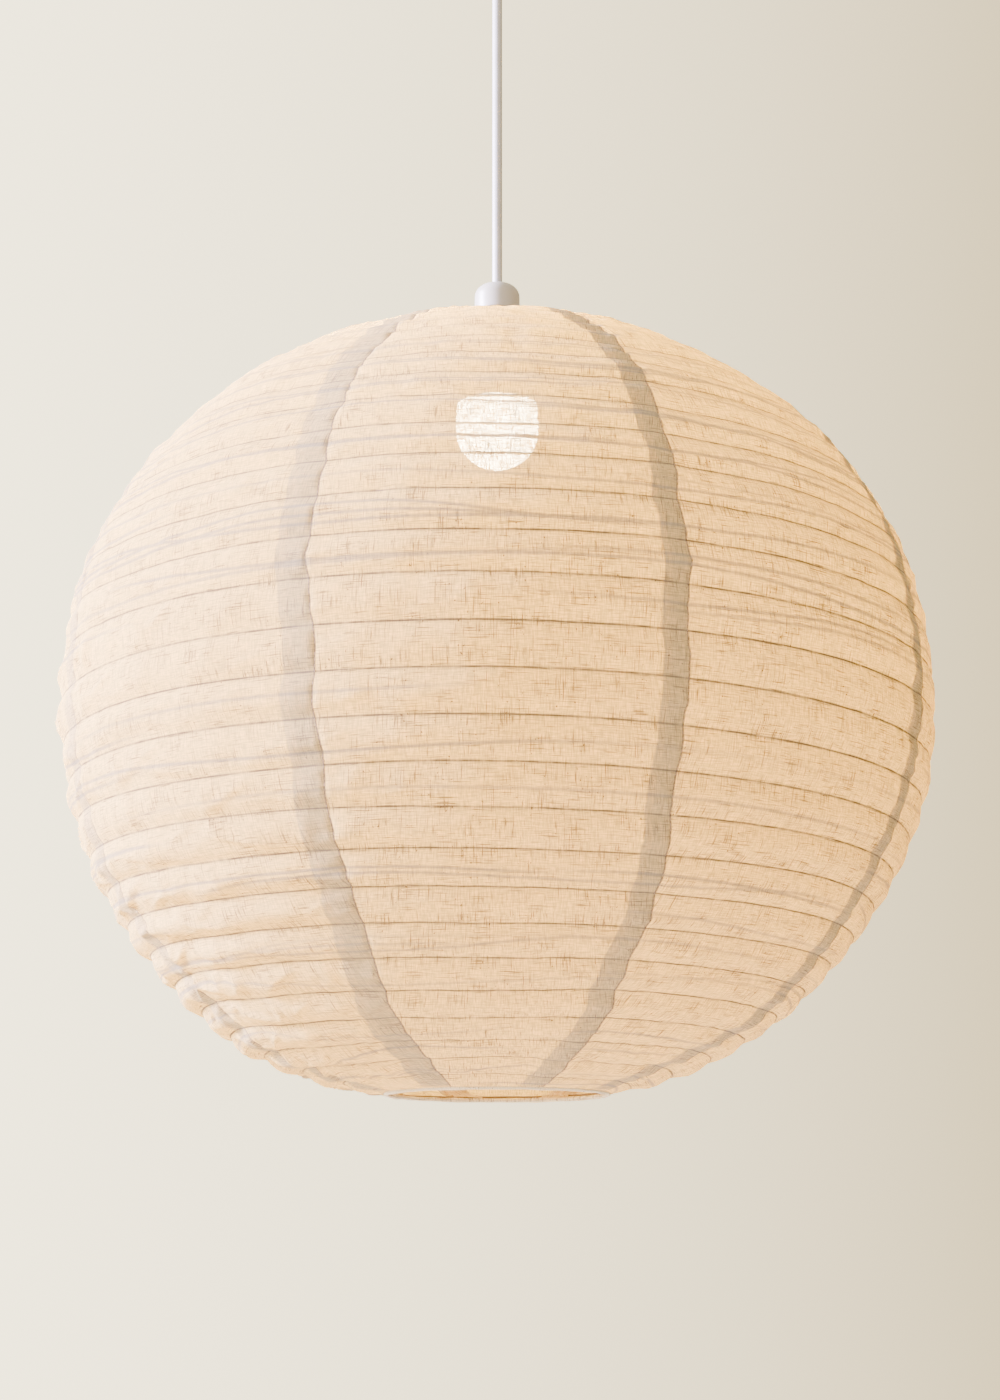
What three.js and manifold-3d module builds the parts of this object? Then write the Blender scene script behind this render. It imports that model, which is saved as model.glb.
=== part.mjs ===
// Pendant lantern: a sewn cloth shade on a helical wire rib, a wire expander, a lampholder with
// its bulb, and a straight cord to a ceiling rose. Millimetres, +Z up, origin on the ceiling.
import Module from "manifold-3d";
import * as THREE from "three";
import { mergeVertices } from "three/addons/utils/BufferGeometryUtils.js";

// Driving dimensions of the shade: a superellipse turned about Z
const EQUATOR_RADIUS = 300;
const HALF_HEIGHT = 273;
const ROUNDNESS = 2.08;
const EQUATOR_Z = -615;
const RING_RADIUS = 75;
const RING_WIRE = 1.3;
const GORES = 8;
const FACETS = 24;
const SMALL_FACETS = 16;
const SKIN_ROWS = 16;
const SKIN_THICKNESS = 0.9;
const GAP = 0.3;

// The rib wire is one helix, one pitch lower on each turn. A full turn count falls RIB_LEAD of a turn past
// the first seam.
const RIB_PITCH = 26.5;
const RIB_LEAD = 2 / 3;
const RIB_WIRE = 0.7;
const RIB_DEPTH = 1.9;
const RIB_START_TURN = 0.5;
const RIB_END = 14;
const RIB_SIDES = 3;

// Seam allowances inside the wire, each beside its stitch line
const BAND_WIDTH = 21;
const BAND_OUTER = 2.9;
const BAND_INNER = 3.6;
const BAND_END = 9;

// Lampholder, measured up from the plane of the top ring
const CAP_TOP = 48.5;
const CAP_RADIUS = 16.2;
const CAP_FOOT = 27.3;
const FLANGE_TOP = 5;
const FLANGE_FOOT = 1.6;
const SKIRT_RADIUS = 19.5;
const SKIRT_BORE = 16.5;
const SKIRT_FOOT = -14;
const BULB_NECK = -7.3;
const BULB_WIDE = -43;
const BULB_FOOT = -90;
const BULB_DOME = 28;
const BULB_RADIUS = 28.5;
const SCREW_RADIUS = 13;

// Cord and ceiling rose
const CORD_RADIUS = 3.6;
const CORD_TOP = -50.5;
const CORD_IN_CAP = 4;
const GLAND_FOOT = -55;
const ROSE_RADIUS = 50;
const ROSE_DEPTH = 40;
const ROSE_WALL = 2;
const SCREW_Z = -8;

// Expander: bridge arms along X, legs hung on pins along Y
const HUB_RADIUS = 22.3;
const SPRING_WIRE = 1.2;
const LEG_WIRE = 1;
const LEG_X = 66;
const EYE_RADIUS = 2.6;
const PIN_HEIGHT = -2.4;

const COLOURS = {
  linen: { color: 0xf1dcc0, roughness: 0.95, metalness: 0 },
  tape: { color: 0xe6d2b8, roughness: 0.95, metalness: 0 },
  steel: { color: 0xb9bbbd, roughness: 0.3, metalness: 1 },
  ribSteel: { color: 0x8a7c6c, roughness: 0.45, metalness: 1 },
  plastic: { color: 0xf2f1ee, roughness: 0.45, metalness: 0 },
  ceramic: { color: 0xefebe2, roughness: 0.35, metalness: 0 },
  brass: { color: 0xc9a24e, roughness: 0.3, metalness: 1 },
  glow: { color: 0xffffff, roughness: 0.5, metalness: 0 },
  flex: { color: 0xf5f4f1, roughness: 0.6, metalness: 0 },
};

const wasm = await Module();
wasm.setup();
const part = new THREE.Group();
const degrees = THREE.MathUtils.degToRad;

// Closed solids: shared vertices merged, slivers dropped and faces turned outwards
function closed(geometry) {
  const bare = geometry.clone();
  for (const name of Object.keys(bare.attributes)) {
    if (name !== "position") bare.deleteAttribute(name);
  }
  const merged = mergeVertices(bare, 1e-4);
  const at = merged.getAttribute("position");
  const corners = merged.index.array;
  const faces = [];
  const a = new THREE.Vector3();
  const b = new THREE.Vector3();
  const c = new THREE.Vector3();
  let volume = 0;
  for (let i = 0; i < corners.length; i += 3) {
    const [p, q, r] = corners.subarray(i, i + 3);
    if (p === q || q === r || r === p) continue;
    faces.push(p, q, r);
    a.fromBufferAttribute(at, p);
    b.fromBufferAttribute(at, q);
    c.fromBufferAttribute(at, r);
    volume += a.dot(b.cross(c));
  }
  merged.setIndex(volume < 0 ? faces.reverse() : faces);
  return merged;
}

function solid(geometry) {
  const shape = closed(geometry);
  return new wasm.Manifold(
    new wasm.Mesh({
      numProp: 3,
      vertProperties: new Float32Array(shape.getAttribute("position").array),
      triVerts: new Uint32Array(shape.index.array),
    }),
  );
}

function geometryOf(manifold) {
  const mesh = manifold.getMesh();
  const geometry = new THREE.BufferGeometry();
  geometry.setAttribute("position", new THREE.BufferAttribute(mesh.vertProperties, 3));
  geometry.setIndex(new THREE.BufferAttribute(mesh.triVerts, 1));
  return geometry;
}

function joined(...geometries) {
  return geometryOf(geometries.map(solid).reduce((sum, next) => sum.add(next)));
}

function cut(geometry, ...tools) {
  return geometryOf(tools.map(solid).reduce((rest, tool) => rest.subtract(tool), solid(geometry)));
}

function common(geometry, tool) {
  return geometryOf(solid(geometry).intersect(solid(tool)));
}

function add(name, look, geometry) {
  const shape = closed(geometry).toNonIndexed();
  shape.computeVertexNormals();
  const mesh = new THREE.Mesh(shape, new THREE.MeshStandardMaterial(COLOURS[look]));
  mesh.name = name;
  part.add(mesh);
}

// Turns [radius, height] points about Z. Every turned piece has a corner on each seam's azimuth.
function turned(points, segments = FACETS) {
  const profile = points.map(([radius, height]) => new THREE.Vector2(radius, height));
  if (points[0][0] > 0) profile.push(profile[0].clone());
  const lathe = new THREE.LatheGeometry(profile, segments, Math.PI / segments);
  return lathe.rotateX(Math.PI / 2);
}

function arc(centreRadius, centreHeight, radius, from, to, steps) {
  return Array.from({ length: steps + 1 }, (_, i) => {
    const angle = degrees(from + ((to - from) * i) / steps);
    return [centreRadius + radius * Math.cos(angle), centreHeight + radius * Math.sin(angle)];
  });
}

function roundRing(radius, height, wire, sides = 6) {
  return turned(arc(radius, height, wire, 0, 360 - 360 / sides, sides - 1));
}

function rod(curve, radius, steps, sides = 8) {
  const section = new THREE.Shape(arc(0, 0, radius, 0, 360 - 360 / sides, sides - 1).map(toVector2));
  return new THREE.ExtrudeGeometry(section, { steps, extrudePath: curve });
}

function toVector2([x, y]) {
  return new THREE.Vector2(x, y);
}

function toVector3([x, y, z]) {
  return new THREE.Vector3(x, y, z);
}

function straightRod(from, to, radius, sides = 8) {
  return rod(new THREE.LineCurve3(toVector3(from), toVector3(to)), radius, 1, sides);
}

function bentRod(points, radius, steps, sides = 8) {
  return rod(new THREE.CatmullRomCurve3(points.map(toVector3), false, "centripetal"), radius, steps, sides);
}

function prism(outline, bottom, top) {
  const shape = new THREE.Shape(outline.map(toVector2));
  const block = new THREE.ExtrudeGeometry(shape, { depth: top - bottom, bevelEnabled: false });
  return block.translate(0, 0, bottom);
}

// The meridian of the shade, by arc length from the top ring
const cornerScale = 2 / (1 + Math.cos(Math.PI / FACETS));

function meridianPoint(angle) {
  const across = Math.sin(angle) ** (2 / ROUNDNESS);
  const up = Math.sign(Math.cos(angle)) * Math.abs(Math.cos(angle)) ** (2 / ROUNDNESS);
  return new THREE.Vector2(EQUATOR_RADIUS * across, EQUATOR_Z + HALF_HEIGHT * up);
}

const ringAngle = Math.asin((RING_RADIUS / EQUATOR_RADIUS) ** (ROUNDNESS / 2));
const topRingZ = meridianPoint(ringAngle).y;
const bottomRingZ = 2 * EQUATOR_Z - topRingZ;

function meridian() {
  const fine = 600;
  const points = Array.from({ length: fine + 1 }, (_, i) =>
    meridianPoint(ringAngle + ((Math.PI - 2 * ringAngle) * i) / fine),
  );
  const lengths = [0];
  for (let i = 1; i <= fine; i += 1) lengths.push(lengths[i - 1] + points[i].distanceTo(points[i - 1]));
  return { points, lengths, total: lengths[fine] };
}

const curve = meridian();

function along(length) {
  const passed = curve.lengths.filter((l) => l <= length).length - 1;
  const at = Math.min(Math.max(passed, 0), curve.points.length - 2);
  const share = (length - curve.lengths[at]) / (curve.lengths[at + 1] - curve.lengths[at]);
  return curve.points[at].clone().lerp(curve.points[at + 1], share);
}

// Rows of the skin, and the same rows set back inwards by a depth
const SKIN_START = 3;
const rowLengths = Array.from(
  { length: SKIN_ROWS + 1 },
  (_, i) => SKIN_START + ((curve.total - 2 * SKIN_START) * i) / SKIN_ROWS,
);

function inward(length, depth) {
  const step = 2;
  const slope = along(Math.min(length + step, curve.total)).sub(along(Math.max(length - step, 0)));
  const point = along(length);
  const reach = slope.length();
  return [(point.x + (slope.y / reach) * depth) * cornerScale, point.y - (slope.x / reach) * depth];
}

function setBack(length, depth) {
  const passed = rowLengths.filter((l) => l <= length).length - 1;
  const row = Math.min(Math.max(passed, 0), SKIN_ROWS - 1);
  const share = (length - rowLengths[row]) / (rowLengths[row + 1] - rowLengths[row]);
  const upper = inward(rowLengths[row], depth);
  const lower = inward(rowLengths[row + 1], depth);
  return upper.map((value, i) => value + (lower[i] - value) * share);
}

function shell(start, end, outer, inner) {
  const inside = rowLengths.filter((length) => length > start && length < end);
  const lengths = [start, ...inside, end];
  const front = lengths.map((length) => setBack(length, outer));
  const back = lengths.map((length) => setBack(length, inner));
  return turned([...front, ...back.reverse()]);
}

const seamAngles = Array.from({ length: GORES }, (_, i) => (360 / GORES) * (i + 0.5));

// A point by azimuth, counted anticlockwise from -Y
function polar(radius, angle) {
  return [radius * Math.sin(degrees(angle)), -radius * Math.cos(degrees(angle))];
}

function gorePrism(from, to) {
  const middle = (from + to) / 2;
  const apex = GAP / 2 / Math.sin(degrees((to - from) / 2));
  const reach = 2 * EQUATOR_RADIUS;
  const start = polar(apex, middle);
  const sides = [from, to].map((angle) => polar(reach, angle).map((value, i) => value + start[i]));
  return prism([start, sides[0], sides[1]], bottomRingZ - 20, topRingZ + 20);
}

function bandPrism(angle) {
  const [outX, outY] = polar(1, angle);
  const corner = (aside, out) => [outX * out + outY * aside, outY * out - outX * aside];
  const inner = RING_RADIUS;
  const outer = 1.2 * EQUATOR_RADIUS;
  const outline = [
    corner(GAP, inner),
    corner(GAP, outer),
    corner(BAND_WIDTH, outer),
    corner(BAND_WIDTH, inner),
  ];
  return prism(outline, bottomRingZ - 20, topRingZ + 20);
}

// The solid wire starts half a turn below the top ring's plane
const ribStart = RIB_START_TURN * RIB_PITCH;
const ribSteps = Math.floor(((curve.total - RIB_END - ribStart) / RIB_PITCH) * FACETS);

class RibHelix extends THREE.Curve {
  getPoint(t) {
    const step = t * ribSteps;
    const whole = Math.min(Math.floor(step), ribSteps - 1);
    const corner = (index) => {
      const [radius, height] = setBack(ribStart + (index * RIB_PITCH) / FACETS, RIB_DEPTH);
      const angle = 360 * (index / FACETS + RIB_START_TURN - RIB_LEAD) - seamAngles[0];
      return new THREE.Vector3(...polar(radius, angle), height);
    };
    return corner(whole).lerp(corner(whole + 1), step - whole);
  }
  getPointAt(t) {
    return this.getPoint(t);
  }
  getTangentAt(t) {
    return this.getTangent(t);
  }
}

function addShade() {
  const skin = shell(SKIN_START, curve.total - SKIN_START, 0, SKIN_THICKNESS);
  const lining = shell(BAND_END, curve.total - BAND_END, BAND_OUTER, BAND_INNER);
  seamAngles.forEach((angle, i) => {
    add(`gore_${i + 1}`, "linen", common(skin, gorePrism(angle - 360 / GORES, angle)));
    add(`seam_band_${i + 1}`, "tape", common(lining, bandPrism(angle)));
  });
  add("rib_wire", "ribSteel", rod(new RibHelix(), RIB_WIRE, ribSteps, RIB_SIDES));
}

// Each end ring is a steel hoop in a hem that is open on its inner side
function addRing(name, height) {
  const hemInner = RING_WIRE + GAP;
  const hemOuter = hemInner + 0.8;
  add(`${name}_ring`, "steel", roundRing(RING_RADIUS, height, RING_WIRE));
  const outside = arc(RING_RADIUS, height, hemOuter, -125, 125, 6);
  const inside = arc(RING_RADIUS, height, hemInner + 0.1, 125, -125, 6);
  add(`${name}_hem`, "tape", turned([...outside, ...inside]));
}

function addExpander() {
  const pinZ = topRingZ + PIN_HEIGHT;
  const underRing = topRingZ - RING_WIRE - 1.1 - GAP - SPRING_WIRE;
  const arms = [1, -1].flatMap((side) => [
    bentRod(
      [
        [side * HUB_RADIUS, 0, topRingZ],
        [side * (LEG_X - 12), 0, topRingZ],
        [side * LEG_X, 0, pinZ],
        [side * (RING_RADIUS - 0.5), 0, underRing],
      ],
      SPRING_WIRE,
      8,
    ),
    straightRod([side * LEG_X, -1, pinZ], [side * LEG_X, 5.5, pinZ], SPRING_WIRE),
  ]);
  add("expander_bridge", "steel", joined(roundRing(HUB_RADIUS, topRingZ, SPRING_WIRE), ...arms));
  for (const [name, side] of [["leg_right", 1], ["leg_left", -1]]) {
    const eye = new THREE.TorusGeometry(EYE_RADIUS, LEG_WIRE, 6, 12).rotateX(Math.PI / 2);
    eye.translate(side * LEG_X, 3, pinZ);
    const footZ = bottomRingZ + RING_WIRE + 1.1 + GAP + LEG_WIRE;
    const stem = bentRod(
      [
        [side * LEG_X, 3, pinZ - EYE_RADIUS],
        [side * LEG_X, 3, EQUATOR_Z],
        [side * LEG_X, 3, footZ + 12],
        [side * (LEG_X + 2), 3, footZ + 3],
        [side * (RING_RADIUS + 0.5), 3, footZ],
      ],
      LEG_WIRE,
      16,
      6,
    );
    add(name, "steel", joined(eye, stem));
  }
}

// Heights inside the lampholder and the bulb count from the top ring's plane
function raised(points) {
  return points.map(([radius, height]) => [radius, topRingZ + height]);
}

function addHolder() {
  const dome = arc(CAP_RADIUS - 9, CAP_TOP - 9, 9, 0, 90, 4);
  const hollow = arc(CAP_RADIUS - 9, CAP_TOP - 9, 7.2, 90, 0, 4);
  const cap = [[CAP_RADIUS, CAP_FOOT], ...dome, [4.8, CAP_TOP], [4.8, CAP_TOP - 1.8], ...hollow];
  add("holder_cap", "plastic", turned(raised([...cap, [CAP_RADIUS - 1.8, CAP_FOOT]]), SMALL_FACETS));
  const body = [
    [CAP_RADIUS, CAP_FOOT - GAP],
    [CAP_RADIUS, 24.5],
    [SKIRT_RADIUS, 21],
    [SKIRT_RADIUS, FLANGE_TOP],
    [25, FLANGE_TOP],
    [25, FLANGE_FOOT],
    [SKIRT_RADIUS, FLANGE_FOOT],
    [SKIRT_RADIUS, SKIRT_FOOT],
    [SKIRT_BORE, SKIRT_FOOT],
    [SKIRT_BORE, 20.8],
    [13.6, 24],
    [13.6, CAP_FOOT - GAP],
  ];
  add("holder_body", "plastic", turned(raised(body), SMALL_FACETS));
  const shellTop = 19;
  const socket = [
    [0, 22.6],
    [12.5, 22.6],
    [16, 19.5],
    [16, -6],
    [14.4, -6],
    [14.4, shellTop + 1.5],
    [0, shellTop + 1.5],
  ];
  add("socket_core", "ceramic", turned(raised(socket), SMALL_FACETS));
  const sleeve = [[14.1, -6], [14.1, shellTop], [13.4, shellTop], [13.4, -6]];
  add("screw_shell", "brass", turned(raised(sleeve), SMALL_FACETS));
  const tongue = new THREE.BoxGeometry(14, 5, 0.5).translate(1.5, 0, topRingZ + 20.05);
  add("centre_contact", "brass", tongue);
  const collar = [[19.9, -7], [19.9, -1.8], [27.5, -1.8], [27.5, -7]];
  add("shade_collar", "plastic", turned(raised(collar), SMALL_FACETS));
}

function addBulb() {
  const tip = [[0, 16.1], [4.5, 16.1], [4.5, 18.4], [3, 19.4], [0, 19.4]];
  add("bulb_contact", "brass", turned(raised(tip), SMALL_FACETS));
  const screwCap = [[0, -7], [SCREW_RADIUS, -7], [SCREW_RADIUS, 11], [7, 15.8], [0, 15.8]];
  add("bulb_cap", "steel", turned(raised(screwCap), SMALL_FACETS));
  const housing = [
    [0, BULB_NECK],
    [13.6, BULB_NECK],
    [14.2, -18],
    [19, -26],
    [25, -35],
    [BULB_RADIUS, BULB_WIDE],
    [0, BULB_WIDE],
  ];
  add("bulb_housing", "plastic", turned(raised(housing), SMALL_FACETS));
  const globe = (radius, dome, foot) => {
    const round = Array.from({ length: 7 }, (_, i) => degrees(15 * i));
    const curve = round.map((a) => [radius * Math.sin(a), foot + dome * (1 - Math.cos(a))]);
    return [...curve, [radius, BULB_WIDE - GAP]];
  };
  const outside = globe(BULB_RADIUS + 1, BULB_DOME, BULB_FOOT);
  const inside = globe(BULB_RADIUS - 0.4, BULB_DOME - 1.4, BULB_FOOT + 1.4).reverse();
  add("bulb_diffuser", "glow", turned(raised([...outside, ...inside]), SMALL_FACETS));
}

function addCord() {
  const foot = topRingZ + CAP_TOP - CORD_IN_CAP;
  add("cord", "flex", straightRod([0, 0, CORD_TOP], [0, 0, foot], CORD_RADIUS, 12));
  const gland = [
    [4.2, -30],
    [5.3, -30],
    [5.3, -ROSE_DEPTH - GAP],
    [9, -ROSE_DEPTH - GAP],
    [9, -46],
    [6.4, GLAND_FOOT],
    [5.7, GLAND_FOOT],
    [4.2, -49.5],
  ];
  add("cord_grip", "plastic", turned(gland, SMALL_FACETS));
  const nutFoot = -ROSE_DEPTH + ROSE_WALL + GAP;
  const nut = [[6.5, nutFoot], [6.5, nutFoot + 4], [11.5, nutFoot + 4], [11.5, nutFoot]];
  add("grip_nut", "plastic", turned(nut, 6));
}

function addRose() {
  const sideBore = (x) => straightRod([x - 8, 0, SCREW_Z], [x + 8, 0, SCREW_Z], 1.7);
  const plate = turned([[0, 0], [45, 0], [45, -14], [43, -14], [43, -2.5], [0, -2.5]]);
  const entry = straightRod([0, 16, 5], [0, 16, -5], 6, 12);
  const slots = [30, -30].map((x) => straightRod([x, 0, 5], [x, 0, -5], 2.2));
  add("rose_base", "steel", cut(plate, entry, ...slots, sideBore(44), sideBore(-44)));
  const cup = [
    [ROSE_RADIUS, -GAP],
    [ROSE_RADIUS, 8 - ROSE_DEPTH],
    [ROSE_RADIUS - 3, 3 - ROSE_DEPTH],
    [ROSE_RADIUS - 8, -ROSE_DEPTH],
    [5.6, -ROSE_DEPTH],
    [5.6, ROSE_WALL - ROSE_DEPTH],
    [ROSE_RADIUS - 9, ROSE_WALL - ROSE_DEPTH],
    [ROSE_RADIUS - ROSE_WALL, 10 - ROSE_DEPTH],
    [ROSE_RADIUS - ROSE_WALL, -GAP],
  ];
  add("rose_cover", "plastic", cut(turned(cup), sideBore(49), sideBore(-49)));
  for (const [name, side] of [["cover_screw_right", 1], ["cover_screw_left", -1]]) {
    const head = straightRod([side * (ROSE_RADIUS + GAP), 0, SCREW_Z], [side * 52.4, 0, SCREW_Z], 3);
    const shank = straightRod([side * 40, 0, SCREW_Z], [side * 51, 0, SCREW_Z], 1.35);
    add(name, "steel", joined(head, shank));
  }
  const block = new THREE.BoxGeometry(26, 12, 14).translate(0, -20, -2.5 - GAP - 7);
  add("terminal_block", "plastic", block);
}

addRose();
addCord();
addHolder();
addBulb();
addExpander();
addShade();
addRing("top", topRingZ);
addRing("bottom", bottomRingZ);

export default part;
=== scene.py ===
"""Round cloth pendant lantern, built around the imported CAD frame. Metres, +Z up, -Y towards the viewer."""

import math

import bmesh
import bpy
import numpy as np
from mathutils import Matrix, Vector


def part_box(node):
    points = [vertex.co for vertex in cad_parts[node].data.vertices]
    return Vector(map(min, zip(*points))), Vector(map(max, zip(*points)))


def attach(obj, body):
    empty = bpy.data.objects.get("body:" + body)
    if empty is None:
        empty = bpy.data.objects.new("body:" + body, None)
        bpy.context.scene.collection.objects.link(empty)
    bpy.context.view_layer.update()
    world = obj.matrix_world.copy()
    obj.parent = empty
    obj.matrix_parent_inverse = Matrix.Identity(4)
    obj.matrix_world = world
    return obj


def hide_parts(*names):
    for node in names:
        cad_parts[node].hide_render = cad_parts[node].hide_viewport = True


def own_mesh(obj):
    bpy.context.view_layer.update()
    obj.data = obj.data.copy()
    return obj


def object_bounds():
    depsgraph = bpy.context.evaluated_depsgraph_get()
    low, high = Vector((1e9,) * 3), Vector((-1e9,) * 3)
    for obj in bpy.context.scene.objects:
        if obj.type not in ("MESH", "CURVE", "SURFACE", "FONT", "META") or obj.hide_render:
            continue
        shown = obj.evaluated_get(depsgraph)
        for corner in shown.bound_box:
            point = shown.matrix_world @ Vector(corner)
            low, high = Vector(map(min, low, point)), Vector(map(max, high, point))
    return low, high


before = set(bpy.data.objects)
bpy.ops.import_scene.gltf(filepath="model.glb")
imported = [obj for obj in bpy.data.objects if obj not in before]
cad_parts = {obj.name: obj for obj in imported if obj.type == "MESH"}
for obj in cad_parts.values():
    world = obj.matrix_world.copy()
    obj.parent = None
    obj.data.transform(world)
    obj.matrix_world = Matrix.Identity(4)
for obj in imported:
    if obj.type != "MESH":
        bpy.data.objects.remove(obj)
CAD_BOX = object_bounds()

# ---------------------------------------------------------------- sizes from the frame
FACET = math.cos(math.pi / 24)
TURN = 2 * math.pi
MM = 0.001


def middle(node):
    low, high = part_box(node)
    return (low + high) / 2


TOP_Z = middle("top_ring").z
BOTTOM_Z = middle("bottom_ring").z
EQUATOR_Z = (TOP_Z + BOTTOM_Z) / 2
RING_FACET_GAP = 0.17 * MM  # the CAD ring's wire has six flat sides
RING_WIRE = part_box("top_ring")[1].z - TOP_Z + RING_FACET_GAP
RING_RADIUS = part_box("top_ring")[1].x / FACET - RING_WIRE
EQUATOR_RADIUS = CAD_BOX[1].x / FACET * (1 + FACET) / 2
ROUNDNESS = 2.08
HALF_HEIGHT = (TOP_Z - EQUATOR_Z) / (1 - (RING_RADIUS / EQUATOR_RADIUS) ** ROUNDNESS) ** (1 / ROUNDNESS)
CAP_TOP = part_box("holder_cap")[1].z
CORD_RADIUS = (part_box("cord")[1].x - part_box("cord")[0].x) / 2

# cloth
GORES = 8
GORE = TURN / GORES
FIRST_SEAM = -GORE / 2
RIB_PITCH = 26.5 * MM
RIB_LEAD = 2 / 3  # turns from the top ring to the rib's first crossing of the first seam
RIB_WIRE = 0.65 * MM
RIB_DEPTH = 0.72 * MM
ROWS_PER_BAND = 14
COLUMNS = 76
SEAM_WIDTH = 21 * MM
SEAM_SHIFT = {0: 6 * MM, 1: -3 * MM}  # how far a seam sits from its even place
SEAM_TRIM = {1: 0.8}  # a seam whose allowance is narrower
SEAM_DEPTH = 0.35 * MM
UNDER_SHARE = 0.72  # the second layer of a seam allowance, against the first
UNDER_DEPTH = 0.65 * MM
CREASES = (41, 45, 49)  # one noise seed for each set of creases
CREASED_BAYS = (5, 13)  # the first and last bay with more creases, counted from the top

# radius of each wire
RING_STEEL = 1.3 * MM
SPRING_WIRE = 1.2 * MM
LEG_WIRE = 1.0 * MM

# ---------------------------------------------------------------- camera
LENS = 63.0
CAMERA_PITCH = math.radians(12.62)
CAMERA_BACK = 1.668
CAMERA_BELOW = 0.367


def make_camera():
    data = bpy.data.cameras.new("camera")
    data.lens = LENS
    data.sensor_width = 36.0
    camera = bpy.data.objects.new("camera", data)
    camera.location = (0.002, -CAMERA_BACK, EQUATOR_Z - CAMERA_BELOW)
    camera.rotation_euler = (math.pi / 2 + CAMERA_PITCH, 0, 0)
    bpy.context.scene.collection.objects.link(camera)
    bpy.context.scene.camera = camera


# ---------------------------------------------------------------- node helpers
class Shade:
    """A material's node tree, with short calls for the nodes that it uses."""

    def __init__(self, name):
        self.material = bpy.data.materials.new(name)
        self.material.use_nodes = True
        self.tree = self.material.node_tree
        self.tree.nodes.clear()

    def node(self, kind, **values):
        made = self.tree.nodes.new("ShaderNode" + kind)
        for key, value in values.items():
            if hasattr(made, key):
                setattr(made, key, value)
            else:
                made.inputs[key.replace("_", " ")].default_value = value
        return made

    def link(self, source, target):
        self.tree.links.new(source, target)

    def math(self, operation, a, b=0.0, clamp=False):
        made = self.node("Math", operation=operation, use_clamp=clamp)
        for i, value in enumerate((a, b)):
            if isinstance(value, (int, float)):
                made.inputs[i].default_value = value
            else:
                self.link(value, made.inputs[i])
        return made.outputs[0]

    def ramp(self, value, low, high, start=0.0, end=1.0):
        made = self.node("MapRange", clamp=True)
        self.link(value, made.inputs[0])
        for i, number in enumerate((low, high, start, end)):
            made.inputs[i + 1].default_value = number
        return made.outputs[0]

    def mix(self, factor, a, b):
        made = self.node("Mix", data_type="RGBA")
        for socket, value in ((made.inputs[0], factor), (made.inputs[6], a), (made.inputs[7], b)):
            if hasattr(value, "is_output"):
                self.link(value, socket)
            elif isinstance(value, (int, float)):
                socket.default_value = value
            else:
                socket.default_value = (*value, 1)
        return made.outputs[2]

    def noise(self, vector, scale, detail=2.0, roughness=0.5, stretch=(1, 1, 1)):
        mapping = self.node("Mapping")
        mapping.inputs["Scale"].default_value = stretch
        self.link(vector, mapping.inputs["Vector"])
        made = self.node("TexNoise")
        made.inputs["Scale"].default_value = scale
        made.inputs["Detail"].default_value = detail
        made.inputs["Roughness"].default_value = roughness
        self.link(mapping.outputs[0], made.inputs["Vector"])
        return made.outputs["Fac"]

    def bump(self, height, strength, distance):
        made = self.node("Bump")
        made.inputs["Strength"].default_value = strength
        made.inputs["Distance"].default_value = distance
        self.link(height, made.inputs["Height"])
        return made.outputs[0]

    def principled(self, color, roughness=0.5, metallic=0.0, normal=None, rough_socket=None):
        made = self.node("BsdfPrincipled")
        if hasattr(color, "is_output"):
            self.link(color, made.inputs["Base Color"])
        else:
            made.inputs["Base Color"].default_value = (*color, 1)
        made.inputs["Roughness"].default_value = roughness
        made.inputs["Metallic"].default_value = metallic
        if rough_socket is not None:
            self.link(rough_socket, made.inputs["Roughness"])
        if normal is not None:
            self.link(normal, made.inputs["Normal"])
        return made

    def finish(self, shader):
        out = self.node("OutputMaterial")
        self.link(shader, out.inputs["Surface"])
        return self.material


def cloth_threads(shade):
    """Linen threads from the cut cloth's own coordinates, in metres: an even weave and dark slubs, 0 to 1."""
    uv = shade.node("UVMap", uv_map="cloth").outputs[0]
    warp = shade.ramp(shade.noise(uv, 1.0, 2, 0.6, (1250, 120, 1)), 0.36, 0.62)
    weft = shade.ramp(shade.noise(uv, 1.0, 2, 0.6, (110, 1350, 1)), 0.36, 0.62)
    patchy = shade.noise(uv, 1.0, 3, 0.6, (40, 55, 1))
    patch = shade.math("MULTIPLY", shade.math("SUBTRACT", patchy, 0.5), 0.3)
    slub = 0.0
    for stretch in ((1300, 62, 1), (52, 1300, 1)):
        dash = shade.math("ADD", shade.noise(uv, 1.0, 2, 0.55, stretch), patch)
        slub = shade.math("ADD", shade.ramp(dash, 0.595, 0.675), slub, clamp=True)
    speck = shade.ramp(shade.math("ADD", shade.noise(uv, 1.0, 1, 0.5, (560, 480, 1)), patch), 0.71, 0.77)
    cloud = shade.noise(uv, 1.0, 3, 0.6, (26, 30, 1))
    return warp, weft, slub, speck, cloud


def narrow_line(shade, value, inner, outer):
    """1 where value is within inner of zero, fading to 0 at outer."""
    return shade.ramp(shade.math("ABSOLUTE", value), inner, outer, 1.0, 0.0)


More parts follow.
